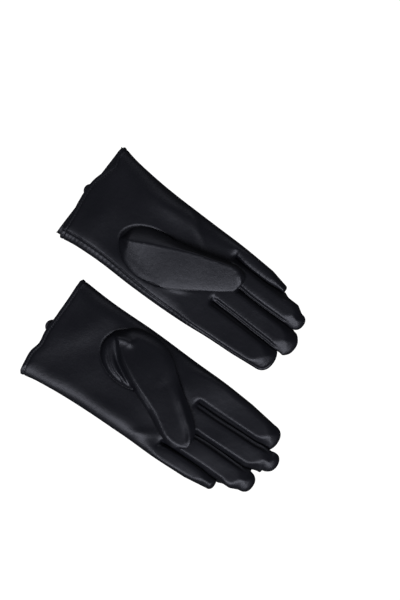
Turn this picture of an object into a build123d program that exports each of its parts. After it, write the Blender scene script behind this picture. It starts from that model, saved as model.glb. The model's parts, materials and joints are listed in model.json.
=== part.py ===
from build123d import *

import os
from dataclasses import dataclass
from math import radians, tan

# A pair of gentlemen's leather dress gloves, lying palm side up with each thumb folded over its palm.
# The pair's frame: +X towards the fingertips, +Y from the left glove to the right one, +Z up, z = 0 on the table.
# A glove's own frame: x from its cuff edge towards the fingertips, t from its centre line towards the index side.
# Millimetres and degrees throughout.

# ---- Driving dimensions ----
glove_height = 15.0  # a glove's thickness, lying flat
leather = 1.0
lining = 0.7
layer_gap = 0.1  # between one layer and the next
hand_edge_radius = 7.0  # roundness of the hand's two long edges
finger_edge_radius = 5.0
finger_end_radius = 7.0  # roundness of a fingertip seen from the side
tip_roundness = 0.42  # a fingertip's corner radius seen from above, as a share of the finger's width
crease_gap = 0.6  # clear space left between two segments of a finger
knuckle_bend = 60.0  # a finger's travel at its knuckle
middle_bend = 75.0  # a finger's travel at its middle joint
lane_gap = 1.2  # clear space between neighbouring fingers
knuckle_to_middle = (34.0, 32.0, 30.0, 25.0)  # between a finger's two hinge lines, index to little

# Hem, tab, seams
hem_width = 12.0
hem_setback = 0.8
hem_thread_at = 3.5
thread = 0.6
tab_width = 10.0
tab_length = 12.0
tab_overhang = 3.0
fourchette_height = 9.0
fourchette_depth = 3.0  # deep enough to hold the whole side wall of a finger

# Thumb
thumb_lift = 0.5  # clear space between the palm and the folded thumb
thumb_height = 13.0
thumb_edge_radius = 5.0
thumb_hole_radius = 19.0
welt_width = 1.5

# Lie of the pair on the table
toe_in = 1.87  # each glove's fingers turn this much towards the other glove
cuff_spacing = 126.1
stagger = 45.6  # the right glove's cuff lies this much further back
pair_length = 300.0

far = 200.0  # longer than any cut that it is used for
middle_height = glove_height / 2


@dataclass
class Finger:
    """One finger: the two long edges of its lane, its two hinge lines and its tip, in the glove's frame."""

    name: str
    low: float
    high: float
    knuckle: float
    middle: float
    tip: float
    fourchette_sides: tuple

    @property
    def centre(self):
        return (self.low + self.high) / 2

    @property
    def width(self):
        return self.high - self.low - lane_gap

    @property
    def tip_radius(self):
        return tip_roundness * self.width


@dataclass
class Glove:
    """One glove: which side it is, where its cuff lies, and the few outlines in which the two differ."""

    name: str
    side: int  # +1 where the index side faces +Y, -1 where it faces -Y
    cuff_x: float
    lanes: tuple  # lane edges from the index side to the little finger's outer side
    knuckles: tuple
    tips: tuple
    crotches: tuple  # where the slits beside the middle finger end, from the index side
    thumb_circles: tuple  # (x, t, radius) of the base, the ball and the tip

    @property
    def plane(self):
        turn = self.side * toe_in
        table = Plane.XY.rotated((0, 0, turn))
        return Plane((self.cuff_x, -self.side * cuff_spacing / 2, 0), x_dir=table.x_dir, z_dir=(0, 0, 1))

    @property
    def across(self):
        """The plane of the cuff mouth, facing the fingertips, with its own y upwards."""
        return Plane(self.plane.origin, x_dir=self.plane.y_dir, z_dir=self.plane.x_dir)

    def along(self, t):
        """The upright plane that runs along the glove at t, its own x towards the fingertips and y up."""
        origin = self.plane.from_local_coords((0, self.side * t, 0))
        return Plane(origin, x_dir=self.plane.x_dir, z_dir=-self.plane.y_dir)

    @property
    def fingers(self):
        names = ("index", "middle", "ring", "little")
        sides = ((-1,), (-1, 1), (-1, 1), (1,))
        found = []
        for i, name in enumerate(names):
            knuckle = self.knuckles[i]
            found.append(
                Finger(
                    name,
                    low=self.lanes[i + 1],
                    high=self.lanes[i],
                    knuckle=knuckle,
                    middle=knuckle + knuckle_to_middle[i],
                    tip=self.tips[i],
                    fourchette_sides=sides[i],
                )
            )
        return found


left = Glove(
    "left",
    side=1,
    cuff_x=stagger - pair_length / 2 + tab_overhang,
    lanes=(45.5, 15.8, -10.2, -34.4, -48.2),
    knuckles=(164.0, 180.0, 180.0, 158.0),
    tips=(242.5, 251.5, 244.0, 214.5),
    crotches=(158.5, 171.5),
    thumb_circles=((75.5, 17.0, 25.0), (110.0, 14.0, 23.0), (162.5, -19.5, 11.5)),
)
right = Glove(
    "right",
    side=-1,
    cuff_x=-pair_length / 2 + tab_overhang,
    lanes=(44.0, 11.0, -13.5, -34.8, -47.0),
    knuckles=(164.0, 180.0, 180.0, 158.0),
    tips=(239.5, 247.0, 240.5, 210.0),
    crotches=(158.5, 171.5),
    thumb_circles=((76.5, 13.5, 24.5), (109.0, 8.0, 23.0), (161.5, -18.0, 10.0)),
)

# The hand's cross sections, as (x, low t, high t): wide at the cuff, then nearly straight to the finger roots.
cuff_section = (0.0, -52.5, 51.5)
wrist_section = (36.0, -48.8, 48.8)
hand_end = 150.0


# ---- Closed forms that the layers are cut from ----
def hand_form(glove, inset):
    """The whole outside of the hand with the finger roots, every side moved in by inset."""
    root_section = (hand_end, glove.lanes[-1] + lane_gap / 2, glove.lanes[0] - lane_gap / 2)
    radius = hand_edge_radius - inset
    height = glove_height - 2 * inset
    with BuildPart() as form:
        for x, low, high in (cuff_section, wrist_section, root_section):
            with BuildSketch(glove.across.offset(x)):
                with Locations((glove.side * (low + high) / 2, middle_height)):
                    RectangleRounded(high - low - 2 * inset, height, radius)
        loft(ruled=True)
        # Webs that join neighbouring roots as far as each crotch, then the free roots themselves
        first, second = glove.crotches
        roots = [(0, 3, first), (1, 3, second)]
        roots += [(i, i + 1, glove.knuckles[i]) for i in range(4)]
        for high_lane, low_lane, x_end in roots:
            low = glove.lanes[low_lane] + lane_gap / 2 + inset
            high = glove.lanes[high_lane] - lane_gap / 2 - inset
            with BuildSketch(glove.across.offset(hand_end - 1)):
                with Locations((glove.side * (low + high) / 2, middle_height)):
                    RectangleRounded(high - low, height, finger_edge_radius - inset)
            extrude(amount=x_end - hand_end + 1)
    return form.part


def finger_form(glove, finger, inset):
    """The whole outside of a finger from its knuckle to its rounded tip, every side moved in by inset."""
    length = finger.tip - finger.knuckle - inset
    width = finger.width - 2 * inset
    height = glove_height - 2 * inset
    middle_of_length = finger.tip - inset - far / 2
    with BuildPart() as form:
        with BuildSketch(glove.across.offset(finger.knuckle)):
            with Locations((glove.side * finger.centre, middle_height)):
                RectangleRounded(width, height, finger_edge_radius - inset)
        extrude(amount=length)
        with BuildSketch(glove.plane):
            with Locations((middle_of_length, glove.side * finger.centre)):
                RectangleRounded(far, width, finger.tip_radius - inset)
        extrude(amount=glove_height, mode=Mode.INTERSECT)
        with BuildSketch(glove.along(finger.centre)):
            with Locations((middle_of_length, middle_height)):
                RectangleRounded(far, height, finger_end_radius - inset)
        extrude(amount=width, both=True, mode=Mode.INTERSECT)
    return form.part


def thumb_form(glove, inset):
    """The folded thumb: the hull of its base, ball and tip, with soft edges, every side moved in by inset."""
    with BuildPart() as form:
        with BuildSketch(glove.plane.offset(glove_height + thumb_lift + inset)):
            for x, t, radius in glove.thumb_circles:
                with Locations((x, glove.side * t)):
                    Circle(radius - inset)
            make_hull()
        extrude(amount=thumb_height - 2 * inset)
        long_edges = form.edges().group_by(Axis.Z)[-1] + form.edges().group_by(Axis.Z)[0]
        fillet(long_edges, thumb_edge_radius - inset)
    return form.part


# ---- Zones that the forms are cut with ----
def crease(glove, finger, x, bend):
    """What is cut away at a hinge line: a slot through the finger, opening upwards by half the bend each way."""
    half_slot = crease_gap / 2
    rise = middle_height + 1
    spread = half_slot + rise * tan(radians(bend / 2))
    with BuildPart() as cut:
        with BuildSketch(glove.along(finger.centre)):
            with BuildLine():
                Polyline(
                    (x - half_slot, -1),
                    (x - half_slot, middle_height),
                    (x - spread, middle_height + rise),
                    (x + spread, middle_height + rise),
                    (x + half_slot, middle_height),
                    (x + half_slot, -1),
                    close=True,
                )
            make_face()
        extrude(amount=(finger.width + lane_gap) / 2, both=True)
    return cut.part


def stretch(glove, x_from, x_to, height_from=-1.0, height_to=glove_height + 1):
    """A block over the glove's whole width, from one x to another."""
    with BuildPart() as block:
        with BuildSketch(glove.plane.offset(height_from)):
            with Locations(((x_from + x_to) / 2, 0)):
                Rectangle(x_to - x_from, far)
        extrude(amount=height_to - height_from)
    return block.part


def fourchette_zone(glove, finger):
    """The upright bands on the finger's sides that its side strips fill, up to where the tip rounds over."""
    x_end = finger.tip - finger.tip_radius
    length = x_end - finger.knuckle
    with BuildPart() as bands:
        with BuildSketch(glove.plane.offset(middle_height - fourchette_height / 2)):
            for side in finger.fourchette_sides:
                edge = finger.centre + side * (finger.width - fourchette_depth + 1) / 2
                with Locations((finger.knuckle + length / 2, glove.side * edge)):
                    Rectangle(length, fourchette_depth + 1)
        extrude(amount=fourchette_height)
    return bands.part


def thumb_opening(glove):
    """The round passage from the hand into the thumb, between mid height and the thumb's hollow."""
    x, t, _ = glove.thumb_circles[0]
    with BuildPart() as passage:
        with BuildSketch(glove.plane.offset(middle_height)):
            with Locations((x, glove.side * t)):
                Circle(thumb_hole_radius)
        extrude(amount=middle_height + thumb_lift + 2 * leather + lining + layer_gap)
    return passage.part


def save(piece, glove, name):
    """Labels a finished piece and writes it as its own file."""
    piece.part.label = f"{glove.name}_{name}"
    export_step(piece.part, f"parts/{piece.part.label}.step")


# ---- Pieces of the hand ----
def make_hand(glove):
    outside = hand_form(glove, 0)
    under_leather = hand_form(glove, leather)
    creases = [crease(glove, f, f.knuckle, knuckle_bend) for f in glove.fingers]
    opening = thumb_opening(glove)

    with BuildPart() as palm:
        add(outside)
        add(under_leather, mode=Mode.SUBTRACT)
        add(stretch(glove, -1, far, middle_height), mode=Mode.INTERSECT)
        add(creases, mode=Mode.SUBTRACT)
        add(opening, mode=Mode.SUBTRACT)
    save(palm, glove, "palm_leather")

    with BuildPart() as back:
        add(outside)
        add(under_leather, mode=Mode.SUBTRACT)
        add(stretch(glove, -1, far, -1, middle_height), mode=Mode.INTERSECT)
        add(creases, mode=Mode.SUBTRACT)
    save(back, glove, "back_leather")

    hem_outside = hand_form(glove, leather + layer_gap)
    hem_inside = hand_form(glove, 2 * leather + layer_gap)
    with BuildPart() as hem:
        add(hem_outside)
        add(hem_inside, mode=Mode.SUBTRACT)
        add(stretch(glove, hem_setback, hem_width), mode=Mode.INTERSECT)
    save(hem, glove, "cuff_hem")

    lining_inside = hand_form(glove, leather + layer_gap + lining)
    with BuildPart() as hand_lining:
        add(hem_outside)
        add(lining_inside, mode=Mode.SUBTRACT)
        add(stretch(glove, hem_width + layer_gap, far), mode=Mode.INTERSECT)
        add(creases, mode=Mode.SUBTRACT)
        add(opening, mode=Mode.SUBTRACT)
    save(hand_lining, glove, "hand_lining")

    make_threads(glove, outside)
    make_thumb_welt(glove)
    make_cuff_tab(glove)


def make_threads(glove, outside):
    """The raised threads: the hem's row on the palm side, and the closing seam along the index edge."""
    over_leather = hand_form(glove, -thread)
    with BuildPart() as hem_thread:
        add(over_leather)
        add(outside, mode=Mode.SUBTRACT)
        add(
            stretch(glove, hem_thread_at, hem_thread_at + thread, middle_height + thread),
            mode=Mode.INTERSECT,
        )
    save(hem_thread, glove, "hem_thread")

    seam_start = hem_thread_at + 3 * thread
    seam_plane = glove.plane.offset(middle_height - thread / 2)
    with BuildPart() as index_half:
        with BuildSketch(seam_plane):
            with Locations(((seam_start + hand_end - 2) / 2, glove.side * far / 4)):
                Rectangle(hand_end - 2 - seam_start, far / 2)
        extrude(amount=thread)
    with BuildPart() as side_seam:
        add(over_leather)
        add(outside, mode=Mode.SUBTRACT)
        add(index_half.part, mode=Mode.INTERSECT)
    save(side_seam, glove, "side_seam")


def make_thumb_welt(glove):
    """The leather ring that binds the thumb hole, flush between the palm's two faces."""
    x, t, _ = glove.thumb_circles[0]
    with BuildPart() as welt:
        with BuildSketch(glove.plane.offset(glove_height - leather)):
            with Locations((x, glove.side * t)):
                Circle(thumb_hole_radius)
                Circle(thumb_hole_radius - welt_width, mode=Mode.SUBTRACT)
        extrude(amount=leather)
    save(welt, glove, "thumb_welt")


def make_cuff_tab(glove):
    """The small pull tab at the middle of the cuff, sewn inside the hem and standing out past the edge."""
    with BuildPart() as tab:
        with BuildSketch(glove.plane.offset(2 * leather + 2 * layer_gap)):
            with Locations((tab_length / 2 - tab_overhang, 0)):
                SlotOverall(tab_length, tab_width)
        extrude(amount=leather)
    save(tab, glove, "cuff_tab")


# ---- Pieces of the thumb ----
def make_thumb(glove):
    outside = thumb_form(glove, 0)
    under_leather = thumb_form(glove, leather)
    lining_outside = thumb_form(glove, leather + layer_gap)
    lining_inside = thumb_form(glove, leather + layer_gap + lining)
    opening = thumb_opening(glove)

    with BuildPart() as thumb:
        add(outside)
        add(under_leather, mode=Mode.SUBTRACT)
        add(opening, mode=Mode.SUBTRACT)
    save(thumb, glove, "thumb_leather")

    with BuildPart() as thumb_lining:
        add(lining_outside)
        add(lining_inside, mode=Mode.SUBTRACT)
        add(opening, mode=Mode.SUBTRACT)
    save(thumb_lining, glove, "thumb_lining")


# ---- Pieces of one finger ----
def make_finger(glove, finger):
    outside = finger_form(glove, finger, 0)
    under_leather = finger_form(glove, finger, leather)
    lining_outside = finger_form(glove, finger, leather + layer_gap)
    lining_inside = finger_form(glove, finger, leather + layer_gap + lining)
    bands = fourchette_zone(glove, finger)
    creases = [
        crease(glove, finger, finger.knuckle, knuckle_bend),
        crease(glove, finger, finger.middle, middle_bend),
    ]
    segments = {
        "base": stretch(glove, finger.knuckle, finger.middle),
        "tip": stretch(glove, finger.middle, finger.tip + 1),
    }
    for segment, zone in segments.items():
        with BuildPart() as skin:
            add(outside)
            add(under_leather, mode=Mode.SUBTRACT)
            add(zone, mode=Mode.INTERSECT)
            add(creases, mode=Mode.SUBTRACT)
            add(bands, mode=Mode.SUBTRACT)
        save(skin, glove, f"{finger.name}_{segment}_leather")

        with BuildPart() as fourchettes:
            add(outside)
            add(under_leather, mode=Mode.SUBTRACT)
            add(zone, mode=Mode.INTERSECT)
            add(creases, mode=Mode.SUBTRACT)
            add(bands, mode=Mode.INTERSECT)
        save(fourchettes, glove, f"{finger.name}_{segment}_fourchettes")

    with BuildPart() as finger_lining:
        add(lining_outside)
        add(lining_inside, mode=Mode.SUBTRACT)
        add(segments["base"], mode=Mode.INTERSECT)
        add(creases, mode=Mode.SUBTRACT)
    save(finger_lining, glove, f"{finger.name}_lining")


os.makedirs("parts", exist_ok=True)
for glove in (left, right):
    make_hand(glove)
    make_thumb(glove)
    for finger in glove.fingers:
        make_finger(glove, finger)
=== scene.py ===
import json
from itertools import product
from math import atan2, cos, pi, radians, sin

import bpy
import numpy as np
from mathutils import Matrix, Vector
from mathutils.bvhtree import BVHTree


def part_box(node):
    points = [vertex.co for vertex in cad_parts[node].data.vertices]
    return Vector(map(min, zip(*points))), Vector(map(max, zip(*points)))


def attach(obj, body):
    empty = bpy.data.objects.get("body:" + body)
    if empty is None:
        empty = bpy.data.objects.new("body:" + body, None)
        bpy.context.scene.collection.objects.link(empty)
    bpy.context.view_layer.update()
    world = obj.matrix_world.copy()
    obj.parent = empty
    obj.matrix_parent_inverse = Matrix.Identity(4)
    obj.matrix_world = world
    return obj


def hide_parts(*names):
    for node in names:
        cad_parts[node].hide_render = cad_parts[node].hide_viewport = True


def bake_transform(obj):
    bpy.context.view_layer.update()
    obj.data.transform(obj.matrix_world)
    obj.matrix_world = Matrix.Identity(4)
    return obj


# The looks of a pair of black leather dress gloves. Shapes are worked out in each glove's own frame, in
# millimetres: x from the cuff edge towards the fingertips, t from the centre line towards the index side,
# z up from the table. Every finished mesh is then placed in the row's frame, in metres.

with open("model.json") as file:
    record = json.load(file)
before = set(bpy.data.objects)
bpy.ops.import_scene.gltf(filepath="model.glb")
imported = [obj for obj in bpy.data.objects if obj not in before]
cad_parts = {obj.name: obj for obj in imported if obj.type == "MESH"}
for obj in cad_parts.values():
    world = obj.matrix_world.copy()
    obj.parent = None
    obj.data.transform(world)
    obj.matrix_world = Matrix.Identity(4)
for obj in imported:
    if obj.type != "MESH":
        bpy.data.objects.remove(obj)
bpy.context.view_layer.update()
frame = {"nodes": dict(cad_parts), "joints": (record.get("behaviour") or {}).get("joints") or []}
MM = 0.001

# Thicknesses and mesh sizes
LEATHER = 1.0
LINING = 0.6
SKIN_STEP = 0.8
LINING_STEP = 2.5
HEM_STEP = 1.5

# The hand and fingers: how far in from an edge the leather is still curving down, and how square a section is
EDGE_ROUND = 17.0
FINGER_ROUND = 7.0
LITTLE_ROUND = 5.6
TIP_DOME = 19.0
HAND_POWER = 2.1
FINGER_POWER = 2.4
BACK_POWER = 3.2
BEFORE_CUFF = -8.0  # the outline starts here and is cut off at the cuff edge, x = 0
INDEX_SIDE_END = 204.0  # the hand's side edges run on along the outer fingers as far as here
LITTLE_SIDE_END = 186.0
EDGE_SPACING = 6.0
HALF_ROOM = 57.0  # half the width of the grid that the skin is worked out on
CROTCH_SHIFTS = (5.5, 8.5, 7.5)  # each slit starts this far before a knuckle

# The fingers' slits, seams and side strips
FINGERS = ("index", "middle", "ring", "little")
FINGER_GAP = 1.6
SLIT_SPACING = 3.0
SLIT_LEAN = 0.5
INDEX_SIDE_INSET = 0.16  # share of a finger's width that its seams run in from its outline, on either side:
LITTLE_SIDE_INSET = 0.065  # one strip shows more, because the fingers lean
STRIP_HEIGHT = 12.0  # top of the strips between the fingers, below the palm-side panels
PAST_TIP_ROOM = 10.0
SIDE_TAPER = 8.0  # past a short neighbour, a finger narrows to its tip over this length
MIDDLE_REACH = 9.0  # a finger would bend over this far on either side of its middle joint; no bend is made

# The cuff and its tab
HEM_WIDTH = 12.0
HEM_LINE = 3.6  # the stitched line's distance from the cuff edge
TAB_WIDTH = 13.0
TAB_LENGTH = 12.0
TAB_CROWN = 1.8
TAB_OVERHANG = 4.2
TAB_HEIGHT = 3.4
TAB_RISE = 5.0  # how much higher the tab is at its free end

# The thumb
THUMB_HOLE = 8.0  # radius of the way from the hand into the thumb
THUMB_HOLE_SHIFT = 9.0
THUMB_BEND_START = -8.0  # its leather would bend between these two places along it, measured from its pivot; no bend is made
THUMB_BEND_END = 45.0
THUMB_THICKNESS = 11.0
THUMB_TIP_ROUND = 8.0
THUMB_BASE_ROUND = 10.0
MOUND_ROUND = 9.0
# Share of its full height along it
THUMB_RISE = ((-26, 0.6), (0, 0.9), (20, 1.0), (40, 0.95), (66, 0.76), (88, 0.6), (108, 0.2))

# Light and camera: the camera looks straight down, and CAMERA_RIGHT is its picture's sideways direction
FLOOR_LIGHT = 0.06
ROOM_LIGHT = 0.05
WHITE_TO_CAMERA = 1.1
LAMP_COLOUR = (0.89, 0.91, 1.05)
CAMERA_LENS = 94.2
CAMERA_PLACE = (0.0003, 0.0395, 1.5)
CAMERA_RIGHT = (0.812, 0.5835)


# -------- small mathematics
def ramp(value, start, end):
    """0 before start, 1 after end, smooth between."""
    u = np.clip((np.asarray(value, float) - start) / (end - start), 0, 1)
    return u * u * (3 - 2 * u)


def bell(value, width):
    return np.exp(-((np.asarray(value, float) / width) ** 2))


def through(points, at):
    """A smooth curve through (position, value) points, read at the positions in at."""
    points = np.array(points, float)
    px, py = points[:, 0], points[:, 1]
    slope = np.gradient(py, px)
    at = np.clip(at, px[0], px[-1])
    i = np.clip(np.searchsorted(px, at) - 1, 0, len(px) - 2)
    span = px[i + 1] - px[i]
    u = (at - px[i]) / span
    return (
        (2 * u**3 - 3 * u**2 + 1) * py[i]
        + (u**3 - 2 * u**2 + u) * span * slope[i]
        + (3 * u**2 - 2 * u**3) * py[i + 1]
        + (u**3 - u**2) * span * slope[i + 1]
    )


def inside_distance(x, t, outline):
    """Signed distance in plan to a closed outline, positive inside."""
    shape = np.shape(x)
    px, pt = np.ravel(x), np.ravel(t)
    best = np.full(px.shape, 1e9)
    inside = np.zeros(px.shape, bool)
    for a, b in zip(outline, np.roll(outline, -1, axis=0)):
        d = b - a
        length = d @ d
        if length == 0:
            continue
        along = np.clip(((px - a[0]) * d[0] + (pt - a[1]) * d[1]) / length, 0, 1)
        best = np.minimum(best, (px - a[0] - along * d[0]) ** 2 + (pt - a[1] - along * d[1]) ** 2)
        crosses = (a[1] > pt) != (b[1] > pt)
        if d[1] != 0:
            inside ^= crosses & (px < a[0] + (pt - a[1]) / d[1] * d[0])
    return np.where(inside, 1, -1).reshape(shape) * np.sqrt(best).reshape(shape)


class PlanMap:
    """A plan quantity worked out once on a grid of x and t, then read anywhere on it."""

    def __init__(self, outline, step=0.5, margin=6.0):
        low, high = outline.min(0) - margin, outline.max(0) + margin
        self.low, self.step = low, step
        xs = np.arange(low[0], high[0], step)
        ts = np.arange(low[1], high[1], step)
        grid_x, grid_t = np.meshgrid(xs, ts, indexing="ij")
        self.values = inside_distance(grid_x, grid_t, outline)

    def __call__(self, x, t):
        u = np.clip((x - self.low[0]) / self.step, 0, self.values.shape[0] - 1.001)
        v = np.clip((t - self.low[1]) / self.step, 0, self.values.shape[1] - 1.001)
        i, j = u.astype(int), v.astype(int)
        fu, fv = u - i, v - j
        g = self.values
        near = g[i, j] * (1 - fv) + g[i, j + 1] * fv
        far = g[i + 1, j] * (1 - fv) + g[i + 1, j + 1] * fv
        return near * (1 - fu) + far * fu


def surface_of(values, origin, step):
    """The quad mesh where a grid of values crosses zero (negative inside), left open at the grid's ends."""
    inside = values < 0
    nx, ny, nz = values.shape
    corners = list(product((0, 1), repeat=3))
    count = np.zeros((nx - 1, ny - 1, nz - 1), int)
    for i, j, k in corners:
        count += inside[i : nx - 1 + i, j : ny - 1 + j, k : nz - 1 + k]
    active = (count > 0) & (count < 8)
    number = np.full(active.shape, -1)
    cells = np.argwhere(active)
    number[active] = np.arange(len(cells))
    total = np.zeros((len(cells), 3))
    crossings = np.zeros(len(cells))
    for a, b in product(corners, corners):
        a, b = np.array(a), np.array(b)
        if (b - a).sum() != 1 or (b - a).min() < 0:
            continue
        va, vb = values[tuple((cells + a).T)], values[tuple((cells + b).T)]
        crossed = (va < 0) != (vb < 0)
        u = np.where(crossed, va / np.where(va == vb, 1, va - vb), 0)
        total += crossed[:, None] * (a + u[:, None] * (b - a))
        crossings += crossed
    points = origin + (cells + total / crossings[:, None]) * step
    faces = []
    for axis in range(3):
        u, v = (axis + 1) % 3, (axis + 2) % 3
        lower = np.take(inside, range(values.shape[axis] - 1), axis)
        upper = np.take(inside, range(1, values.shape[axis]), axis)
        edges = np.argwhere(lower != upper)
        eu, ev = edges[:, u], edges[:, v]
        edges = edges[(eu > 0) & (ev > 0) & (eu < active.shape[u]) & (ev < active.shape[v])]
        flip = ~lower[tuple(edges.T)]
        shift_u, shift_v = np.eye(3, dtype=int)[u], np.eye(3, dtype=int)[v]
        around = [edges - shift_u - shift_v, edges - shift_v, edges, edges - shift_u]
        quads = np.stack([number[tuple(c.T)] for c in around], 1)
        quads[flip] = quads[flip][:, ::-1]
        faces.append(quads)
    return points, np.concatenate(faces)


def grid_points(low, high, step):
    axes = [np.arange(a, b + step / 2, step) for a, b in zip(low, high)]
    return np.meshgrid(*axes, indexing="ij")


def point_normals(points, faces):
    a, b, c, d = (points[faces[:, i]] for i in range(4))
    face_normal = np.cross(c - a, d - b)
    total = np.zeros_like(points)
    for i in range(4):
        np.add.at(total, faces[:, i], face_normal)
    length = np.linalg.norm(total, axis=1, keepdims=True)
    return total / np.maximum(length, 1e-12)


def relax(points, faces, rounds, hold=None, strength=0.5):
    """Smooths a mesh, nearly keeping its volume; hold is true where a point stays."""
    edges = np.concatenate([faces[:, [i, (i + 1) % 4]] for i in range(4)])
    degree = np.bincount(edges.ravel(), minlength=len(points))[:, None]
    for step in [strength, -strength * 1.04] * rounds:
        total = np.zeros_like(points)
        np.add.at(total, edges[:, 0], points[edges[:, 1]])
        np.add.at(total, edges[:, 1], points[edges[:, 0]])
        moved = points + step * (total / np.maximum(degree, 1) - points)
        points = moved if hold is None else np.where(hold[:, None], points, moved)
    return points


# -------- where each glove lies, read from the frame
class Glove:
    """One glove's own frame and its main sizes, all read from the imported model."""

    def __init__(self, name):
        self.name = name
        joints = {j["name"]: j for j in frame["joints"]}
        curl = Vector(joints[f"{name}_index_knuckle"]["axis"])
        self.across = -curl  # the row direction on the table that lies across the glove
        self.along = self.across.cross(Vector((0, 0, 1)))
        thumb_joint = joints[f"{name}_thumb_open"]
        self.side = 1 if thumb_joint["axis"][2] > 0 else -1
        low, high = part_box(f"{name}_cuff_tab")
        self.origin = (low + high) / 2
        self.origin.z = 0
        # The tab is on the centre line, and the origin moves along it from the tab's middle to the cuff edge
        tab, back = (self.vertices(node) @ np.array(self.along) for node in ("cuff_tab", "back_leather"))
        self.origin -= self.along * ((tab.min() + tab.max()) / 2 - back.min())
        self.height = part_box(f"{name}_palm_leather")[1].z / MM
        self.thumb_pivot = self.to_local(Vector(thumb_joint["pos_m"]))
        self.fingers = []
        for finger in FINGERS:
            base = self.local_box(f"{finger}_base_leather")
            tip = self.local_box(f"{finger}_tip_leather")
            own = {"name": finger, "low": base[0][1], "high": base[1][1], "tip": tip[1][0]}
            for joint in ("knuckle", "middle"):
                own[joint] = self.to_local(Vector(joints[f"{name}_{finger}_{joint}"]["pos_m"]))[0]
            self.fingers.append(own)

    def vertices(self, node):
        return np.array([v.co for v in frame["nodes"][f"{self.name}_{node}"].data.vertices])

    def local_box(self, node):
        local = self.to_local_array(self.vertices(node))
        return local.min(0), local.max(0)

    def to_local(self, v):
        return self.to_local_array(np.array([v]))[0]

    def to_local_array(self, co):
        rel = co - np.array(self.origin)
        x, t = rel @ np.array(self.along), rel @ np.array(self.across) * self.side
        return np.stack([x, t, rel[:, 2]], 1) / MM

    def to_row(self, points):
        """Points in the glove's own frame, in millimetres, as row points in metres."""
        p = np.asarray(points, float).reshape(-1, 3) * MM
        return np.array(self.origin) + self.turned(p)

    def turned(self, directions):
        """Directions in the glove's own frame, as directions in the row's frame."""
        along, across, up = np.array(self.along), np.array(self.across) * self.side, np.array((0, 0, 1.0))
        return directions[:, :1] * along + directions[:, 1:2] * across + directions[:, 2:] * up

    def row_point(self, x, t, z):
        return tuple(self.to_row([(x, t, z)])[0])


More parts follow.
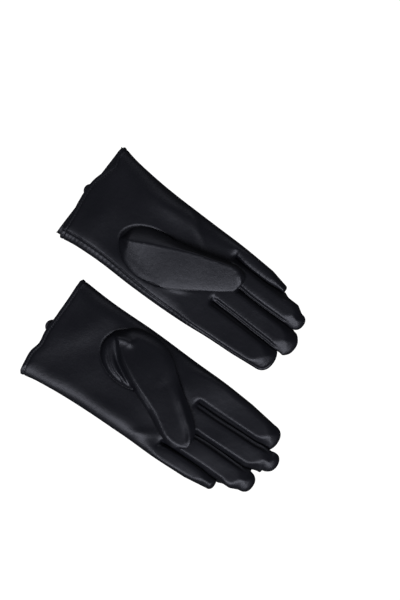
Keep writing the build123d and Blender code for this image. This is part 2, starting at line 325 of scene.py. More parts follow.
# -------- how the two gloves differ as they lie
# cuff_edge: (t, x) points. index_edge and little_edge, the hand's sides: (x, t) points.
# tips: where each fingertip lies, from t to t. tip_ends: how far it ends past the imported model's.
# notches: the t at which each slit passes between two fingertips.
# thumb_high, thumb_low and thumb_crest: (s, v) points, s along the folded thumb from its pivot, v across it.
# thumb_folds and thumb_ridges: (path of (s, v) points, height, half width).
# oval, the seam round the thumb: (middle x, middle t, half length, half width, tilt in degrees).
# folds: (middle, direction, half length, half width, height).
LOOKS = {
    "left": {
        "cuff_edge": (
            (-54, 0.8), (-42, -0.8), (-30, -1.6), (-19, 0.9), (-8, -0.5), (12, 0.2), (28, 0.7), (53, 0.4),
        ),
        "index_edge": (
            (-8, 54.3), (0, 53.7), (37, 51.1), (87, 50.5), (137, 48.1), (170, 47.0), (204, 44.2),
        ),
        "little_edge": (
            (-8, -54.4), (0, -53.8), (18, -51.2), (37, -49.6), (77, -48.3), (120, -48.6), (150, -49.6),
            (186, -49.0),
        ),
        "tips": ((15.6, 40.0), (-1.5, 19.1), (-30.4, -9.6), (-46.2, -33.6)),
        "tip_ends": (-0.3, 2.3, 1.5, 0.2),
        "notches": (17.6, -4.8, -34.6),
        "thumb_high": (
            (-24, 5), (-18, 17), (-3, 28.4), (15, 33.8), (36, 32.6), (51, 28.6), (69, 24.8), (86, 20.2),
            (100, 13), (108, 5),
        ),
        "thumb_low": (
            (-24, 0), (-16, -1.5), (-11, -5.5), (-2, -9), (14, -11.2), (60, -13), (90, -13.9), (99, -11),
            (108, -1),
        ),
        "thumb_crest": ((-24, 3), (-14, 2), (0, -2), (18, -4.5), (60, -5.5), (92, -8), (108, 1)),
        "thumb_folds": (
            (((-20, -6), (-12, -12), (3, -17.6), (18, -16.8)), 0.9, 1.5),
            (((-14, -4), (-1, -9.5), (15, -12), (30, -12)), 2.2, 2.2),
        ),
        "thumb_ridges": (
            (((44, 25), (60, 20.3), (79, 14.7), (94, 10), (106, 2)), 2.8, 4.4),
            (((-22, 2), (-8, 10)), 2.4, 5.0),
            (((-10, -2), (4, -7), (18, -9.4), (34, -10.6), (52, -11.2)), 1.0, 2.4),
        ),
        "oval": (87.0, 18.0, 36.5, 26.8, 5.0),
        "mound": 5.0,
        "side_seam_inset": 0.0,
        "folds": (
            ((92, -37), (1, 0.03), 46, 10, 1.4),
            ((30, 12), (0.5, 1), 30, 13, 1.2),
            ((129, -36), (0.85, 0.5), 12, 4.5, 0.8),
            ((138, 24), (0.55, -0.85), 14, 6, 1.2),
        ),
    },
    "right": {
        "cuff_edge": (
            (-53, 2.0), (-45, 0.8), (-33, 4.9), (-22, 1.8), (-10, -1.2), (5, -1.3), (28, 2.2), (42, 3.7),
            (52, 5.2),
        ),
        "index_edge": (
            (-8, 53.5), (0, 52.6), (24, 49.8), (47, 48.3), (87, 48.4), (130, 47.0), (152, 45.4),
            (172, 43.2), (204, 40.9),
        ),
        "little_edge": (
            (-8, -53.5), (0, -52.8), (17, -50.1), (47, -47.4), (110, -46.6), (150, -46.9), (186, -45.6),
        ),
        "tips": ((11.0, 38.3), (-10.8, 12.9), (-29.8, -13.6), (-42.2, -34.6)),
        "tip_ends": (0.5, 0.9, 0.3, -2.8),
        "notches": (12.2, -12.2, -35.2),
        "thumb_high": (
            (-25, 1), (-18, 10.5), (-9, 18), (3, 23.8), (15, 27.3), (27, 29.6), (45, 26.6), (63, 21.6),
            (86, 15.4), (95, 11.8), (102, 6),
        ),
        "thumb_low": (
            (-25, -8), (-19, -15.5), (-11, -20.4), (-2, -22), (9, -20.8), (28, -17), (49, -14.6),
            (75, -13), (92, -11), (102, -5),
        ),
        "thumb_crest": (
            (-25, -4), (-13, -4), (4, -6.3), (16, -7.5), (43, -10), (68, -9.6), (89, -7.8), (102, -1),
        ),
        "thumb_folds": (),
        "thumb_ridges": ((((93, -4), (100, 6)), 1.1, 3.5),),
        "oval": (87.5, 12.8, 37.5, 23.4, -2.0),
        "mound": 1.0,
        "side_seam_inset": 8.0,
        "folds": (
            ((107, -32), (0.86, 0.5), 16, 4.0, 1.2),
            ((74, -34), (1, -0.1), 27, 10, 2.0),
            ((22, 10), (0.2, 1), 32, 12, 1.3),
            ((124, 24), (0.9, -0.44), 12, 3.5, 1.1),
        ),
    },
}


# -------- the skin of the hand and fingers
class Skin:
    """The outside of one glove without its thumb, as a smooth surface."""

    def __init__(self, glove):
        self.glove = glove
        self.look = LOOKS[glove.name]
        self.middle = glove.height / 2
        fingers = glove.fingers
        self.lane_edges = [(a["low"] + b["high"]) / 2 for a, b in zip(fingers, fingers[1:])]
        self.ends = [f["tip"] + more for f, more in zip(fingers, self.look["tip_ends"])]
        # Where the slits between the fingers start, measured from the index, middle and little knuckles
        beside = (fingers[0], fingers[1], fingers[3])
        self.crotches = [f["knuckle"] - shift for f, shift in zip(beside, CROTCH_SHIFTS)]
        self.plan = PlanMap(self.outline())

    def slit_end(self, i):
        """The slit after finger i ends where the shorter of its two fingers does."""
        return min(self.ends[i], self.ends[i + 1])

    def slit(self, i, x):
        """The t of the slit after finger i: straight, then passing between the two fingertips."""
        lane_edge, end = self.lane_edges[i], self.slit_end(i)
        return lane_edge + (self.look["notches"][i] - lane_edge) * ramp(x, end - 20, end - 4)

    def along_slit(self, i, tip_start):
        """Places along the slit after finger i, from its crotch to its end or to where a fingertip starts."""
        stop = min(tip_start, self.slit_end(i))
        return np.append(np.arange(self.crotches[i], stop - 1, SLIT_SPACING), stop)

    def tip_curve(self, i):
        """A fingertip's rounded end, from its index side to its little side, clear of the slits."""
        low, high = self.look["tips"][i]
        half = (high - low) / 2
        depth = 0.95 * half
        turns = np.linspace(pi / 2, -pi / 2, 17)
        x = self.ends[i] - depth + depth * np.abs(np.cos(turns)) ** 0.85
        t = (low + high) / 2 + half * np.sign(np.sin(turns)) * np.abs(np.sin(turns)) ** 0.85
        if i > 0:
            limit = self.slit(i - 1, x) - FINGER_GAP / 2
            t = np.where(x < self.slit_end(i - 1), np.minimum(t, limit), t)
        if i < 3:
            limit = self.slit(i, x) + FINGER_GAP / 2
            t = np.where(x < self.slit_end(i), np.maximum(t, limit), t)
        return list(zip(x, t))

    def outline(self):
        """The closed plan outline, from the cuff along the index edge, round every finger and back."""
        look = self.look
        xs = np.arange(BEFORE_CUFF, INDEX_SIDE_END + 1, EDGE_SPACING)
        points = [(x, through(look["index_edge"], x)) for x in xs]
        for i in range(4):
            curve = self.tip_curve(i)
            if i > 0:
                along = self.along_slit(i - 1, curve[0][0])
                points += [(x, self.slit(i - 1, x) - FINGER_GAP / 2) for x in along]
            points += curve
            if i < 3:
                along = self.along_slit(i, curve[-1][0])
                if curve[-1][0] - SIDE_TAPER > along[-1]:
                    points.append((curve[-1][0] - SIDE_TAPER, self.slit(i, along[-1]) + FINGER_GAP / 2))
                points += [(x, self.slit(i, x) + FINGER_GAP / 2) for x in along[::-1]]
        xs = np.arange(LITTLE_SIDE_END, BEFORE_CUFF - 1, -EDGE_SPACING)
        points += [(x, through(look["little_edge"], x)) for x in xs]
        return np.array(points)

    def close_slits(self, points):
        """Brings neighbouring fingers together: they touch along their sides, one leaning over the other."""
        x, t, z = points.T
        half_gap, touch = FINGER_GAP / 2, 0.05
        for i, crotch in enumerate(self.crotches):
            end = self.slit_end(i)
            beyond = ramp(x, crotch - 3.0, crotch) * (1 - ramp(x, end, end + 8))
            away = t - self.slit(i, x)
            outside = away - np.sign(away) * (half_gap - touch) * bell(np.abs(away) - half_gap, 4.0)
            closed = np.where(np.abs(away) < half_gap, away * touch / half_gap, outside)
            lean = SLIT_LEAN * (z - self.middle) * bell(away, 5.0)
            t = t + beyond * (closed - away + lean)
        return np.stack([x, t, z], 1)

    def roundness(self, x, t):
        """How far in from the outline the surface is still curving down."""
        little = ramp(-t, -self.lane_edges[2] - 3, -self.lane_edges[2] + 3)
        finger = FINGER_ROUND * (1 - little) + LITTLE_ROUND * little
        finger = finger + (TIP_DOME - finger) * (1 - 0.5 * little) * self.tipness(x, t)
        return EDGE_ROUND + (finger - EDGE_ROUND) * ramp(x, 120, 160)

    def finger_at(self, x, t):
        """Which finger, 0 to 3, each place is on. Past a fingertip, its longer neighbour has all the room."""
        lane = np.zeros(np.shape(x), int)
        for i in range(3):
            room = PAST_TIP_ROOM if self.ends[i] < self.ends[i + 1] else -PAST_TIP_ROOM
            lane += t < self.slit(i, x) + room * (x > self.slit_end(i) + 0.4)
        return lane

    def seam_inset(self, lane, t):
        """How far in from the outline the finger seam runs."""
        low = np.array([f["low"] for f in self.glove.fingers])[lane]
        width = np.array([f["high"] for f in self.glove.fingers])[lane] - low
        index_side = ramp((t - low) / width, 0.35, 0.65)
        return (LITTLE_SIDE_INSET + (INDEX_SIDE_INSET - LITTLE_SIDE_INSET) * index_side) * width

    def tipness(self, x, t):
        """0 along a finger, 1 at its tip."""
        tips = np.array([f["tip"] for f in self.glove.fingers])[self.finger_at(x, t)]
        return ramp(x, tips - 22, tips - 5)

    def build(self, step, inset=0.0, x_from=0.0, x_to=260.0):
        low, high = (x_from, -HALF_ROOM, -2.0), (x_to, HALF_ROOM, self.glove.height + 2.0)
        x, t, z = grid_points(low, high, step)
        plan_x, plan_t = x[:, :, 0], t[:, :, 0]
        reach = self.roundness(plan_x, plan_t) - inset
        edge = np.clip((reach - (self.plan(plan_x, plan_t) - inset)) / reach, 0, None)[:, :, None]
        half = self.middle - inset
        level = np.abs(z - self.middle) / half
        top_power = HAND_POWER + (FINGER_POWER - HAND_POWER) * ramp(plan_x, 125, 165)
        top_power = (top_power - 0.6 * self.tipness(plan_x, plan_t))[:, :, None]
        power = np.where(z > self.middle, top_power, BACK_POWER)
        values = ((edge**power + level**power) ** (1 / power) - 1) * half
        points, faces = surface_of(values, np.array(low), step)
        rim = points[:, 0] < x_from + step
        points = relax(points, faces, 3, hold=rim)
        points[rim, 0] = x_from
        return points, faces


def oval_distance(look, x, t):
    """Rough distance from the thumb's oval seam, negative inside."""
    cx, ct, long, short, tilt = look["oval"]
    c, n = cos(radians(tilt)), sin(radians(tilt))
    a, b = (x - cx) * c + (t - ct) * n, -(x - cx) * n + (t - ct) * c
    radius = np.hypot(a / long, b / short)
    return (radius - 1) * np.hypot(a, b) / np.maximum(radius, 1e-6)


def oval_place(look, turn):
    """The x and t of the oval seam at an angle round it."""
    cx, ct, long, short, tilt = look["oval"]
    c, n = cos(radians(tilt)), sin(radians(tilt))
    a, b = long * cos(turn), short * sin(turn)
    return cx + a * c - b * n, ct + a * n + b * c


class Thumb:
    """The folded thumb, in its own plan directions s (towards its tip) and v (towards the index side)."""

    def __init__(self, glove):
        self.glove = glove
        self.look = LOOKS[glove.name]
        local = glove.to_local_array(glove.vertices("thumb_leather"))
        rel = local[:, :2] - glove.thumb_pivot[:2]
        far = rel[np.argmax((rel**2).sum(1))]
        self.reach = float(np.hypot(*far))
        self.angle = atan2(far[1], far[0])
        glove.thumb_ahead = far / self.reach
        self.floor = local[:, 2].min()
        self.top = self.floor + THUMB_THICKNESS

    def plan_place(self, s, v):
        """The x and t of places given along and across the thumb."""
        c, n = cos(self.angle), sin(self.angle)
        x0, t0 = self.glove.thumb_pivot[:2]
        return x0 + s * c - v * n, t0 + s * n + v * c

    def tube(self, s, v, z, inset):
        """Negative inside the flattened tube of the thumb itself."""
        look = self.look
        high, low = through(look["thumb_high"], s) - inset, through(look["thumb_low"], s) + inset
        crest = through(look["thumb_crest"], s)
        start, end = look["thumb_high"][0][0] + inset, self.reach - inset
        index_side = np.clip((v - crest) / (high - crest), 0, None)
        little_side = np.clip((crest - v) / (crest - low), 0, None)
        tip = np.clip(1 - (end - s) / (THUMB_TIP_ROUND - inset), 0, None)
        base = np.clip(1 - (s - start) / THUMB_BASE_ROUND, 0, None)
        lift = ramp(s, -12, 30)
        middle = self.floor + 3 * lift - 2.5 * (1 - lift)
        up = (self.top - middle) * through(THUMB_RISE, s) - inset
        down = np.maximum(middle - self.floor, 0) + 2.5 * (1 - lift) - inset * 0.6
        level = np.where(z > middle, (z - middle) / up, (middle - z) / np.maximum(down, 0.5))
        flank, near = np.where(z > middle, 1.0, 2.0), np.where(z > middle, 1.4, 2.0)
        outward = index_side**flank + little_side**near + tip**2.6 + base**1.8 + level**1.35
        return outward ** (1 / 1.35) * 6 - 6

    def mound(self, s, v, z, inset):
        """Negative inside the gusset that the thumb grows out of: a low mound within the oval seam."""
        rim = np.clip(1 + (oval_distance(self.look, *self.plan_place(s, v)) + inset) / MOUND_ROUND, 0, None)
        sunk = self.floor - 3
        rise = np.where(z > sunk, (z - sunk) / (self.look["mound"] + 3 - inset), (sunk - z) / (3 - inset))
        return np.sqrt(rim**2 + rise**2) * 6 - 6

    def field(self, s, v, z, inset):
        """The tube and the mound as one, blended softly on the index side and tightly on the little side."""
        tube, mound = self.tube(s, v, z, inset), self.mound(s, v, z, inset)
        spread = 0.5 + 4.0 * ramp(v, -8, 4)
        share = np.clip(0.5 + 0.5 * (mound - tube) / spread, 0, 1)
        return mound * (1 - share) + tube * share - spread * share * (1 - share)

    def build(self, step, inset=0.0):
        low, high = (-38.0, -32.0, self.floor - 8), (112.0, 42.0, self.top + 2)
        s, v, z = grid_points(low, high, step)
        points, faces = surface_of(self.field(s, v, z, inset), np.array(low), step)
        s, v, z = self.crumple(relax(points, faces, 18), faces).T
        return np.stack([*self.plan_place(s, v), z], 1), faces

    def crumple(self, points, faces):
        """The creases and ridges that the thumb's soft leather falls into."""
        upwards = ramp(point_normals(points, faces)[:, 2], 0.0, 0.5)
        push = np.zeros(len(points))
        for kind, sign in (("thumb_folds", -1), ("thumb_ridges", 1)):
            for path, size, width in self.look[kind]:
                path = np.array(path, float)
                along = np.clip(points[:, 0], path[0, 0], path[-1, 0])
                away = np.hypot(points[:, 0] - along, points[:, 1] - through(path, along))
                starts = ramp(points[:, 0], path[0, 0] - width, path[0, 0] + 0.35 * np.ptp(path[:, 0]))
                push += sign * size * starts * bell(away, width)
        moved = points.copy()
        moved[:, 2] += push * upwards
        return relax(moved, faces, 8)


# -------- meshes
def add_object(name, data):
    item = bpy.data.objects.new(name, data)
    bpy.context.scene.collection.objects.link(item)
    return item


def quad_shell(points, normals, faces, thickness):
    """A closed shell: the given faces, the same faces moved in by thickness, and a rim round every open edge.
    Returns its points, its faces, and one normal for each face corner."""
    used = np.unique(faces)
    number = np.full(len(points), -1)
    number[used] = np.arange(len(used))
    outer = points[used]
    normal = normals[used]
    inner = outer - normal * thickness
    f = number[faces]
    n = len(used)
    edges = np.concatenate([f[:, [i, (i + 1) % 4]] for i in range(4)])
    key = edges[:, 0].astype(np.int64) * n + edges[:, 1]
    twin = edges[:, 1].astype(np.int64) * n + edges[:, 0]
    border = edges[~np.isin(key, twin)]
    rim = np.stack([border[:, 1], border[:, 0], border[:, 0] + n, border[:, 1] + n], 1)
    all_faces = np.concatenate([f, f[:, ::-1] + n, rim])
    all_points = np.concatenate([outer, inner])
    a, b, c = (all_points[rim[:, i]] for i in range(3))
    rim_normal = np.cross(b - a, c - b)
    rim_normal /= np.maximum(np.linalg.norm(rim_normal, axis=1, keepdims=True), 1e-12)
    sides = normal[f].reshape(-1, 3), -normal[f[:, ::-1]].reshape(-1, 3)
    return all_points, all_faces, np.concatenate([*sides, np.repeat(rim_normal, 4, axis=0)])


def new_piece(glove, name, material, points, faces, corner_normals=None):
    """A mesh object in the row's frame from points in the glove's frame."""
    mesh = bpy.data.meshes.new(name)
    row = glove.to_row(points)
    if glove.side < 0:
        faces = np.asarray(faces)[:, ::-1]
    mesh.from_pydata(row.tolist(), [], np.asarray(faces).tolist())
    mesh.validate(clean_customdata=False)
    mesh.polygons.foreach_set("use_smooth", np.ones(len(mesh.polygons), bool))
    if corner_normals is not None:
        local = np.asarray(corner_normals)
        if glove.side < 0:
            local = local.reshape(-1, 4, 3)[:, ::-1].reshape(-1, 3)
        mesh.normals_split_custom_set(glove.turned(local).tolist())
    mesh.materials.append(material)
    return add_object(name, mesh)


# -------- the skin's seams, folds and puckers
def cuff_wave(look, t):
    """The cuff edge isn't cut by a ruler: it wanders by a few millimetres, and its corners are rounded."""
    return through(look["cuff_edge"], t) + 1.5 * ramp(np.abs(t), 48.5, 54) ** 2


def side_strip_width(look, x):
    """How far the index edge's closing seam lies in from the edge: it narrows towards the fingertip."""
    return look["side_seam_inset"] * (1 - 0.75 * ramp(x, 20, 200))


def soft_folds(look, x, t):
    """Long, low swells of soft leather, and the folds that this glove has."""
    swell = np.sin(x * 0.051 + 1.1) * np.sin(t * 0.083 + 0.4) + 0.6 * np.sin(x * 0.093 - t * 0.071 + 2.0)
    height = 0.5 * swell * ramp(x, 4, 30)
    for place, direction, length, width, size in look["folds"]:
        dx, dt = np.array(direction) / np.hypot(*direction)
        along = (x - place[0]) * dx + (t - place[1]) * dt
        across = (t - place[1]) * dx - (x - place[0]) * dt
        height += size * bell(along, length) * bell(across, width)
    return height


def finger_seams(skin, x, t, palm_side, back_side):
    """A groove along each finger's outline, puckers beside it and a dip at each crotch. The second result is
    1 where the strips between the fingers step down."""
    crotches, lane, edge = skin.crotches, skin.finger_at(x, t), skin.plan(x, t)
    start = np.array([crotches[0], min(crotches[:2]), min(crotches[1:]), crotches[2]])[lane]
    centre = np.array([(f["low"] + f["high"]) / 2 for f in skin.glove.fingers])[lane]
    sewn = np.where(lane == 0, ramp(centre - t, -8, -2), np.where(lane == 3, ramp(t - centre, -3, 0), 1.0))
    fingers = ramp(x, start - 3, start + 3)
    inset = skin.seam_inset(lane, t)
    pucker = np.sin(x * 1.5 + 2.0 * np.sin(x * 0.17)) * bell(edge - inset - 1.0, 1.5)
    push = (0.03 * pucker * palm_side - 0.6 * bell(edge - inset, 0.9) * back_side) * fingers * sewn
    for crotch, lane_edge in zip(crotches, skin.lane_edges):
        push -= 0.5 * bell(np.hypot(x - crotch - 2, t - lane_edge), 4.0) * palm_side
    return push, (1 - ramp(edge, inset - 1.2, inset + 0.5)) * fingers * (sewn > 0.5)


def index_edge_seam(skin, points, palm_side, back_side):
    """The closing seam: a groove on the very edge, or one on the palm side with tucks outside it."""
    x, t, z = points.T
    if skin.look["side_seam_inset"] == 0:
        return -0.5 * bell(z - skin.middle, 0.9) * ramp(t, 25, 35) * (1 - palm_side) * (1 - back_side)
    width = side_strip_width(skin.look, x)
    from_edge = np.where(t > 0, skin.plan(x, t), 99.0)
    tuck = np.sin(x * 1.35) * ramp(width - from_edge, -1.0, 0.5) * bell(from_edge - width * 0.5, width * 0.5)
    return (0.07 * tuck - 0.7 * bell(from_edge - width, 0.9)) * palm_side * ramp(t, 20, 30)


def hem_and_oval(look, x, t, palm_side):
    """The cuff's stitched hem line with the double thickness outside it, and the thumb's oval seam."""
    push = 0.22 * (1 - ramp(x, HEM_LINE - 1.0, HEM_LINE - 0.2)) - 0.45 * bell(x - HEM_LINE, 0.75)
    push += 0.10 * np.sin(t * 2.4) * bell(x - HEM_LINE, 1.6) * palm_side
    return push - 0.6 * bell(oval_distance(look, x, t) + 0.2, 1.0) * palm_side


def sculpt(skin, points, faces):
    """The skin's points, moved to show its seams, hem and folds. The back lies flat, so it has no folds."""
    x, t, _ = points.T
    normals = point_normals(points, faces)
    palm_side = ramp(normals[:, 2], 0.15, 0.6)
    back_side = ramp(-normals[:, 2], 0.15, 0.6)
    push, step_down = finger_seams(skin, x, t, palm_side, back_side)
    push += soft_folds(skin.look, x, t) * palm_side
    push += index_edge_seam(skin, points, palm_side, back_side)
    push += hem_and_oval(skin.look, x, t, palm_side)
    moved = points + normals * push[:, None]
    moved[:, 2] -= step_down * np.maximum(moved[:, 2] - STRIP_HEIGHT, 0)
    moved[:, 0] += cuff_wave(skin.look, t) * (1 - ramp(x, 0, 25))
    moved[:, 2] = np.maximum(moved[:, 2], 0.05)
    return skin.close_slits(moved)


def skin_regions(skin, points, faces):
    """Which named piece each face belongs to."""
    glove = skin.glove
    middle = points[faces].mean(1)
    x, t, z = middle.T
    edge = skin.plan(x, t)
    lane = skin.finger_at(x, t)
    crotches = skin.crotches
    region = np.where(z > skin.middle, "palm_leather", "back_leather").astype(object)
    for i, finger in enumerate(glove.fingers):
        start = max(crotches[max(i - 1, 0)], crotches[min(i, 2)])
        finger["start"] = start
        finger["split"] = (finger["knuckle"] + finger["middle"]) / 2
        own = (lane == i) & (x > start)
        centre = (finger["low"] + finger["high"]) / 2
        sewn = (t < centre) & (i < 3) | (t > centre) & (i > 0)
        strip = sewn & (edge < skin.seam_inset(lane, t)) & (x < finger["tip"] - 7)
        for segment, part in (("base", x <= finger["split"]), ("tip", x > finger["split"])):
            region[own & part & ~strip] = f"{finger['name']}_{segment}_leather"
            region[own & part & strip] = f"{finger['name']}_{segment}_fourchettes"
    return region


# -------- small solids
def stitch(middle, direction, up, length=1.8, radius=0.24):
    """One stitch: a short square-sectioned thread, thinner at both ends, as points and faces."""
    direction = direction / np.linalg.norm(direction)
    sideways = np.cross(up, direction)
    sideways /= np.linalg.norm(sideways)
    up = np.cross(direction, sideways)
    points = []
    for along, size, sink in ((-1, 0.5, -0.5), (-0.55, 1, 0), (0.55, 1, 0), (1, 0.5, -0.5)):
        centre = middle + direction * along * length / 2 + up * sink * radius
        for a, b in ((1, 1), (-1, 1), (-1, -1), (1, -1)):
            points.append(centre + (sideways * a + up * b) * radius * size * 0.8)
    faces = [(0, 3, 2, 1), (12, 13, 14, 15)]
    for ring in range(3):
        for i in range(4):
            a, b = ring * 4 + i, ring * 4 + (i + 1) % 4
            faces.append((a, b, b + 4, a + 4))
    return np.array(points), np.array(faces)


def join(parts):
    """Several (points, faces) as one."""
    points, faces, start = [], [], 0
    for p, f in parts:
        points.append(p)
        faces.append(f + start)
        start += len(p)
    return np.concatenate(points), np.concatenate(faces)


def cord(path, radius, sides=8):
    """A round cord along a closed path."""
    path = np.array(path)
    ahead = np.roll(path, -1, axis=0) - np.roll(path, 1, axis=0)
    ahead /= np.linalg.norm(ahead, axis=1, keepdims=True)
    sideways = np.cross((0, 0, 1.0), ahead)
    sideways /= np.linalg.norm(sideways, axis=1, keepdims=True)
    up = np.cross(ahead, sideways)
    rings = [path + radius * (cos(a) * sideways + sin(a) * up) for a in np.arange(sides) * 2 * pi / sides]
    points = np.stack(rings, 1).reshape(-1, 3)
    i, k = np.meshgrid(np.arange(len(path)), np.arange(sides), indexing="ij")
    j, m = (i + 1) % len(path), (k + 1) % sides
    faces = np.stack([i * sides + k, j * sides + k, j * sides + m, i * sides + m], -1).reshape(-1, 4)
    return points, faces[:, ::-1]


# -------- pieces of one glove
def rest_attribute(piece, points):
    """Keeps each point's place at rest, in millimetres, so that the grain stays put in every pose."""
    attribute = piece.data.attributes.new("rest_mm", "FLOAT_VECTOR", "POINT")
    attribute.data.foreach_set("vector", np.asarray(points, np.float32).ravel())


def add_piece(glove, node, shape, slot_name, painted_light_material=None):
    """A piece that stands for a CAD node. Its shape is points, faces and, for a shell, corner normals."""
    name = f"{glove.name}_{node}"
    # a material given apart from the slot carries painted light: a lighter tone so that the piece looks lit
    piece = new_piece(glove, name + "_look", MATERIALS[painted_light_material or slot_name], *shape)
    rest_attribute(piece, shape[0])
    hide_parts(name)
    return piece


def add_to_hand(glove, node, shape, slot_name, painted_light_material=None):
    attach(add_piece(glove, node, shape, slot_name, painted_light_material), f"{glove.name}_hand")


def bend_at(glove, piece, start, end):
    start, end = glove.row_point(*start), glove.row_point(*end)
    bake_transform(piece)


def move_with_finger(glove, finger, segment, piece):
    """Works out where a base segment would bend out of the hand at the knuckle, or a tip out of the base at
    the middle joint; the piece is only left in place, with its placement applied.
    """
    centre = (finger["low"] + finger["high"]) / 2
    height = glove.height / 2
    name = finger["name"]
    if segment == "base":
        parent, start = "hand", finger["start"]
        end = 2 * finger["knuckle"] - start
    else:
        parent, start, end = f"{name}_base", finger["middle"] - MIDDLE_REACH, finger["middle"] + MIDDLE_REACH
    bend_at(glove, piece, (start, centre, height), (end, centre, height))


def in_thumb_hole(glove, points):
    """The way from the hand into the thumb, a little further along the thumb than its pivot."""
    ahead = glove.thumb_ahead
    x, t = glove.thumb_pivot[:2] + ahead * THUMB_HOLE_SHIFT
    return np.hypot(points[:, 0] - x, points[:, 1] - t) < THUMB_HOLE


def make_skin(glove):
    """All the leather of the hand and fingers, and its surface for the trims to lie on."""
    skin = Skin(glove)
    points, faces = skin.build(SKIN_STEP)
    region = skin_regions(skin, points, faces)
    moved = sculpt(skin, points, faces)
    normals = point_normals(moved, faces)
    tree = BVHTree.FromPolygons(moved.tolist(), faces.tolist())

    middle = points[faces].mean(1)
    region[in_thumb_hole(glove, middle) & (region == "palm_leather")] = "hole"
    for name in ("palm_leather", "back_leather"):
        shell = quad_shell(moved, normals, faces[region == name], LEATHER)
        add_to_hand(glove, name, shell, "leather")
    for finger, segment, layer in product(glove.fingers, ("base", "tip"), ("leather", "fourchettes")):
        name = f"{finger['name']}_{segment}_{layer}"
        shell = quad_shell(moved, normals, faces[region == name], LEATHER)
        slot_name = "leather" if layer == "leather" else "side_leather"
        move_with_finger(glove, finger, segment, add_piece(glove, name, shell, slot_name))
    return skin, tree


def make_linings(glove, skin):
    """The leather that faces the cuff's inside, and the knit lining of the hand and of each finger's base."""
    points, faces = skin.build(HEM_STEP, inset=LEATHER + 0.4, x_from=0.8, x_to=HEM_WIDTH)
    shell = quad_shell(points, point_normals(points, faces), faces, LEATHER)
    add_to_hand(glove, "cuff_hem", shell, "trim_leather")

    points, faces = skin.build(LINING_STEP, inset=LEATHER + 0.5, x_from=HEM_WIDTH + 0.2)
    middle = points[faces].mean(1)
    points = skin.close_slits(points)
    normals = point_normals(points, faces)
    lane = skin.finger_at(middle[:, 0], middle[:, 1])
    start = np.array([f["start"] for f in glove.fingers])[lane]
    end = np.array([f["middle"] - MIDDLE_REACH for f in glove.fingers])[lane]
    hole = in_thumb_hole(glove, middle) & (middle[:, 2] > skin.middle)
    shell = quad_shell(points, normals, faces[(middle[:, 0] < start) & ~hole], LINING)
    add_to_hand(glove, "hand_lining", shell, "lining")
    for i, finger in enumerate(glove.fingers):
        own = (lane == i) & (middle[:, 0] >= start) & (middle[:, 0] < end)
        shell = quad_shell(points, normals, faces[own], LINING)
        move_with_finger(glove, finger, "base", add_piece(glove, f"{finger['name']}_lining", shell, "lining"))


def make_thumb(glove, thumb):
    """The folded thumb and its lining, each left in place with its placement applied; where they would bend
    out of the palm at the thumb's base is worked out, but no bend is made.
    """
    for node, step, inset, thickness, slot_name in (
        ("thumb_leather", SKIN_STEP, 0.0, LEATHER, "leather"),
        ("thumb_lining", LINING_STEP, LEATHER + 0.5, LINING, "lining"),
    ):
        points, faces = thumb.build(step, inset)
        normals = point_normals(points, faces)
        middle = points[faces].mean(1)
        keep = ~(in_thumb_hole(glove, middle) & (normals[faces[:, 0], 2] < 0))
        piece = add_piece(glove, node, quad_shell(points, normals, faces[keep], thickness), slot_name)
        direction = np.array((cos(thumb.angle), sin(thumb.angle), 0))
        start = glove.thumb_pivot + direction * THUMB_BEND_START
        end = glove.thumb_pivot + direction * THUMB_BEND_END
        bend_at(glove, piece, start, end)


def dropped_on(tree, x, t):
    """The point of the skin straight below (x, t), and the direction out of it."""
    hit, normal, _, _ = tree.ray_cast(Vector((x, t, 60)), Vector((0, 0, -1)))
    return (np.array(hit), np.array(normal)) if hit else (None, None)


def row_of_stitches(tree, path, spacing=2.6):
    """Stitches on the skin along a plan path of (x, t) points."""
    path = np.array(path, float)
    steps = np.hypot(*np.diff(path, axis=0).T)
    length = np.concatenate([[0], np.cumsum(steps)])
    at = np.arange(spacing / 2, length[-1], spacing)
    xs, ts = np.interp(at, length, path[:, 0]), np.interp(at, length, path[:, 1])
    made = []
    for x, t, nx, nt in zip(xs[:-1], ts[:-1], xs[1:], ts[1:]):
        place, up = dropped_on(tree, x, t)
        if place is not None:
            made.append(stitch(place - up * 0.05, np.array((nx - x, nt - t, 0.0)), up))
    return join(made)


def make_hem_thread(glove, look, tree):
    path = [(HEM_LINE + float(cuff_wave(look, t)), t) for t in np.arange(-48.0, 48.0, 2.0)]
    add_to_hand(glove, "hem_thread", row_of_stitches(tree, path), "thread")


def make_side_seam(glove, look, tree):
    xs = np.arange(6.0, 158.0, 3.0)
    inset = np.maximum(side_strip_width(look, xs), 0.9)
    path = [(x, through(look["index_edge"], x) - i) for x, i in zip(xs, inset)]
    add_to_hand(glove, "side_seam", row_of_stitches(tree, path), "thread")


def make_thumb_welt(glove, look, tree):
    """The cord of leather sunk into the palm round the thumb."""
    ring = []
    for turn in np.linspace(0, 2 * pi, 96, endpoint=False):
        place, up = dropped_on(tree, *oval_place(look, turn))
        ring.append(place - up * 0.3)
    add_to_hand(glove, "thumb_welt", cord(ring, 0.45), "trim_leather")


def make_cuff_tab(glove):
    """A domed rounded tab that hangs out of the middle of the cuff."""
    across, along = 9, 13
    u, v = np.meshgrid(np.linspace(-1, 1, along), np.linspace(-1, 1, across), indexing="ij")
    x = TAB_LENGTH / 2 * (1 + u * np.sqrt(1 - v * v / 2)) - TAB_OVERHANG
    t = TAB_WIDTH / 2 * v * np.sqrt(1 - u * u / 2)
    z = TAB_HEIGHT + TAB_RISE * (1 - ramp(x, -2, 4)) + TAB_CROWN * (1 - v * v)
    points = np.stack([x, t, z], -1).reshape(-1, 3)
    i, k = np.meshgrid(np.arange(along - 1), np.arange(across - 1), indexing="ij")
    first = i * across + k
    faces = np.stack([first, first + across, first + across + 1, first + 1], -1).reshape(-1, 4)
    shell = quad_shell(points, point_normals(points, faces), faces, LEATHER)
    # painted light: the tab gets a tone about three times lighter than the other leather, so that it looks
    # lit where the lamps leave it in shade
    add_to_hand(glove, "cuff_tab", shell, "trim_leather", "tab_leather")


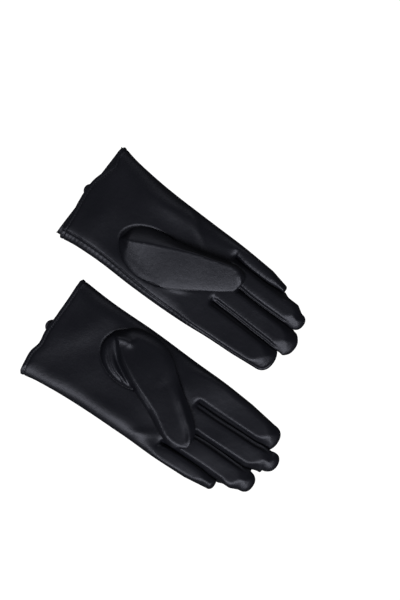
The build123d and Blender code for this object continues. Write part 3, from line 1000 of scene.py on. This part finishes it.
# -------- materials
def mixed(nodes, links, factor, low, high):
    """A number that goes from low to high with the factor socket."""
    node = nodes.new("ShaderNodeMapRange")
    node.inputs["To Min"].default_value = low
    node.inputs["To Max"].default_value = high
    links.new(factor, node.inputs["Value"])
    return node.outputs["Result"]


def noise(nodes, links, where, scale, detail=3.0):
    node = nodes.new("ShaderNodeTexNoise")
    node.inputs["Scale"].default_value = scale
    node.inputs["Detail"].default_value = detail
    links.new(where, node.inputs["Vector"])
    return node.outputs["Fac"]


def bump(nodes, links, height, distance, strength, before=None):
    node = nodes.new("ShaderNodeBump")
    node.inputs["Distance"].default_value = distance
    node.inputs["Strength"].default_value = strength
    links.new(height, node.inputs["Height"])
    if before:
        links.new(before, node.inputs["Normal"])
    return node.outputs["Normal"]


def new_material(name, tone, rough):
    """A plain material, its nodes and links, its shader, and the socket of each point's place at rest."""
    material = bpy.data.materials.new(name)
    material.use_nodes = True
    nodes, links = material.node_tree.nodes, material.node_tree.links
    shader = nodes["Principled BSDF"]
    shader.inputs["Base Color"].default_value = (*tone, 1)
    shader.inputs["Roughness"].default_value = rough
    place = nodes.new("ShaderNodeAttribute")
    place.attribute_name = "rest_mm"
    return material, nodes, links, shader, place.outputs["Vector"]


def leather_material(name, tone, rough, grain):
    """Smooth dyed leather: satin, with fine pebbled grain, soft creases and slightly uneven polish."""
    material, nodes, links, shader, where = new_material(name, tone, rough)
    uneven = noise(nodes, links, where, 0.05)
    links.new(mixed(nodes, links, uneven, rough - 0.05, rough + 0.08), shader.inputs["Roughness"])
    pebbles = nodes.new("ShaderNodeTexVoronoi")
    pebbles.inputs["Scale"].default_value = 1.3
    links.new(where, pebbles.inputs["Vector"])
    creases = noise(nodes, links, where, 0.22, 4.0)
    normal = bump(nodes, links, creases, 0.0004, 0.35)
    normal = bump(nodes, links, pebbles.outputs["Distance"], 0.00008, grain, normal)
    links.new(normal, shader.inputs["Normal"])
    return material


def thread_material():
    return new_material("thread", (0.008, 0.008, 0.010), 0.5)[0]


def lining_material():
    """Dark knit: fine ribs along the glove and a soft, matt surface."""
    material, nodes, links, shader, where = new_material("lining", (0.02, 0.02, 0.024), 0.9)
    ribs = nodes.new("ShaderNodeTexWave")
    ribs.bands_direction = "Y"
    ribs.inputs["Scale"].default_value = 0.35
    ribs.inputs["Distortion"].default_value = 1.0
    links.new(where, ribs.inputs["Vector"])
    links.new(bump(nodes, links, ribs.outputs["Fac"], 0.0003, 0.6), shader.inputs["Normal"])
    return material


MATERIALS = {
    "leather": leather_material("leather", (0.0074, 0.0077, 0.0106), 0.375, 0.5),
    "side_leather": leather_material("side_leather", (0.0075, 0.0078, 0.0100), 0.42, 0.5),
    "trim_leather": leather_material("trim_leather", (0.0075, 0.0078, 0.0100), 0.42, 0.5),
    # painted light: a lighter tone that makes the cuff tab look lit
    "tab_leather": leather_material("tab_leather", (0.022, 0.022, 0.025), 0.55, 0.6),
    "thread": thread_material(),
    "lining": lining_material(),
}


# -------- the studio
def make_floor():
    """A white table that shines evenly to the camera and lights the gloves only a little."""
    mesh = bpy.data.meshes.new("floor")
    mesh.from_pydata([(-3, -3, 0), (3, -3, 0), (3, 3, 0), (-3, 3, 0)], [], [(0, 1, 2, 3)])
    floor = add_object("floor", mesh)
    material = bpy.data.materials.new("floor")
    material.use_nodes = True
    nodes, links = material.node_tree.nodes, material.node_tree.links
    nodes.clear()
    glow = nodes.new("ShaderNodeEmission")
    rays = nodes.new("ShaderNodeLightPath")
    to_camera = mixed(nodes, links, rays.outputs["Is Camera Ray"], FLOOR_LIGHT, WHITE_TO_CAMERA)
    links.new(to_camera, glow.inputs["Strength"])
    links.new(glow.outputs["Emission"], nodes.new("ShaderNodeOutputMaterial").inputs["Surface"])
    mesh.materials.append(material)


def make_light(name, toward, elevation, distance, size, energy):
    """A rectangular softbox: toward is its plan direction from the middle of the pair."""
    lamp = bpy.data.lights.new(name, "AREA")
    lamp.shape = "RECTANGLE"
    lamp.size, lamp.size_y = size
    lamp.energy = energy
    lamp.color = LAMP_COLOUR
    light = add_object(name, lamp)
    plan = Vector((*toward, 0)).normalized()
    light.location = (plan * cos(elevation) + Vector((0, 0, sin(elevation)))) * distance
    light.rotation_euler = light.location.to_track_quat("Z", "Y").to_euler()


def make_room():
    """A white surround to the camera, and a dim one to the gloves."""
    world = bpy.data.worlds.new("room")
    world.use_nodes = True
    nodes, links = world.node_tree.nodes, world.node_tree.links
    rays = nodes.new("ShaderNodeLightPath")
    to_camera = mixed(nodes, links, rays.outputs["Is Camera Ray"], ROOM_LIGHT, WHITE_TO_CAMERA)
    links.new(to_camera, nodes["Background"].inputs["Strength"])
    colour = nodes.new("ShaderNodeMix")
    colour.data_type = "RGBA"
    colour.inputs["A"].default_value = (*LAMP_COLOUR, 1)
    colour.inputs["B"].default_value = (1, 1, 1, 1)
    links.new(rays.outputs["Is Camera Ray"], colour.inputs["Factor"])
    links.new(colour.outputs["Result"], nodes["Background"].inputs["Color"])
    bpy.context.scene.world = world


def make_camera():
    """Straight down on the pair, turned so that the fingers point up and to the right."""
    lens = bpy.data.cameras.new("camera")
    lens.lens = CAMERA_LENS
    camera = add_object("camera", lens)
    right = Vector((*CAMERA_RIGHT, 0))
    out = Vector((0, 0, 1))
    turned = Matrix((right, out.cross(right), out)).transposed().to_4x4()
    camera.matrix_world = Matrix.Translation(CAMERA_PLACE) @ turned
    bpy.context.scene.camera = camera


for name in ("left", "right"):
    glove = Glove(name)
    thumb = Thumb(glove)
    skin, tree = make_skin(glove)
    make_linings(glove, skin)
    make_thumb(glove, thumb)
    make_hem_thread(glove, skin.look, tree)
    make_side_seam(glove, skin.look, tree)
    make_thumb_welt(glove, skin.look, tree)
    make_cuff_tab(glove)

make_floor()
make_light("key", (0.58, -0.81), radians(50), distance=2.6, size=(3.2, 1.0), energy=47.0)
make_light("fill", (-0.58, 0.81), radians(40), distance=1.6, size=(1.4, 0.6), energy=1.9)
make_room()
bpy.context.scene.view_settings.view_transform = "Standard"
make_camera()
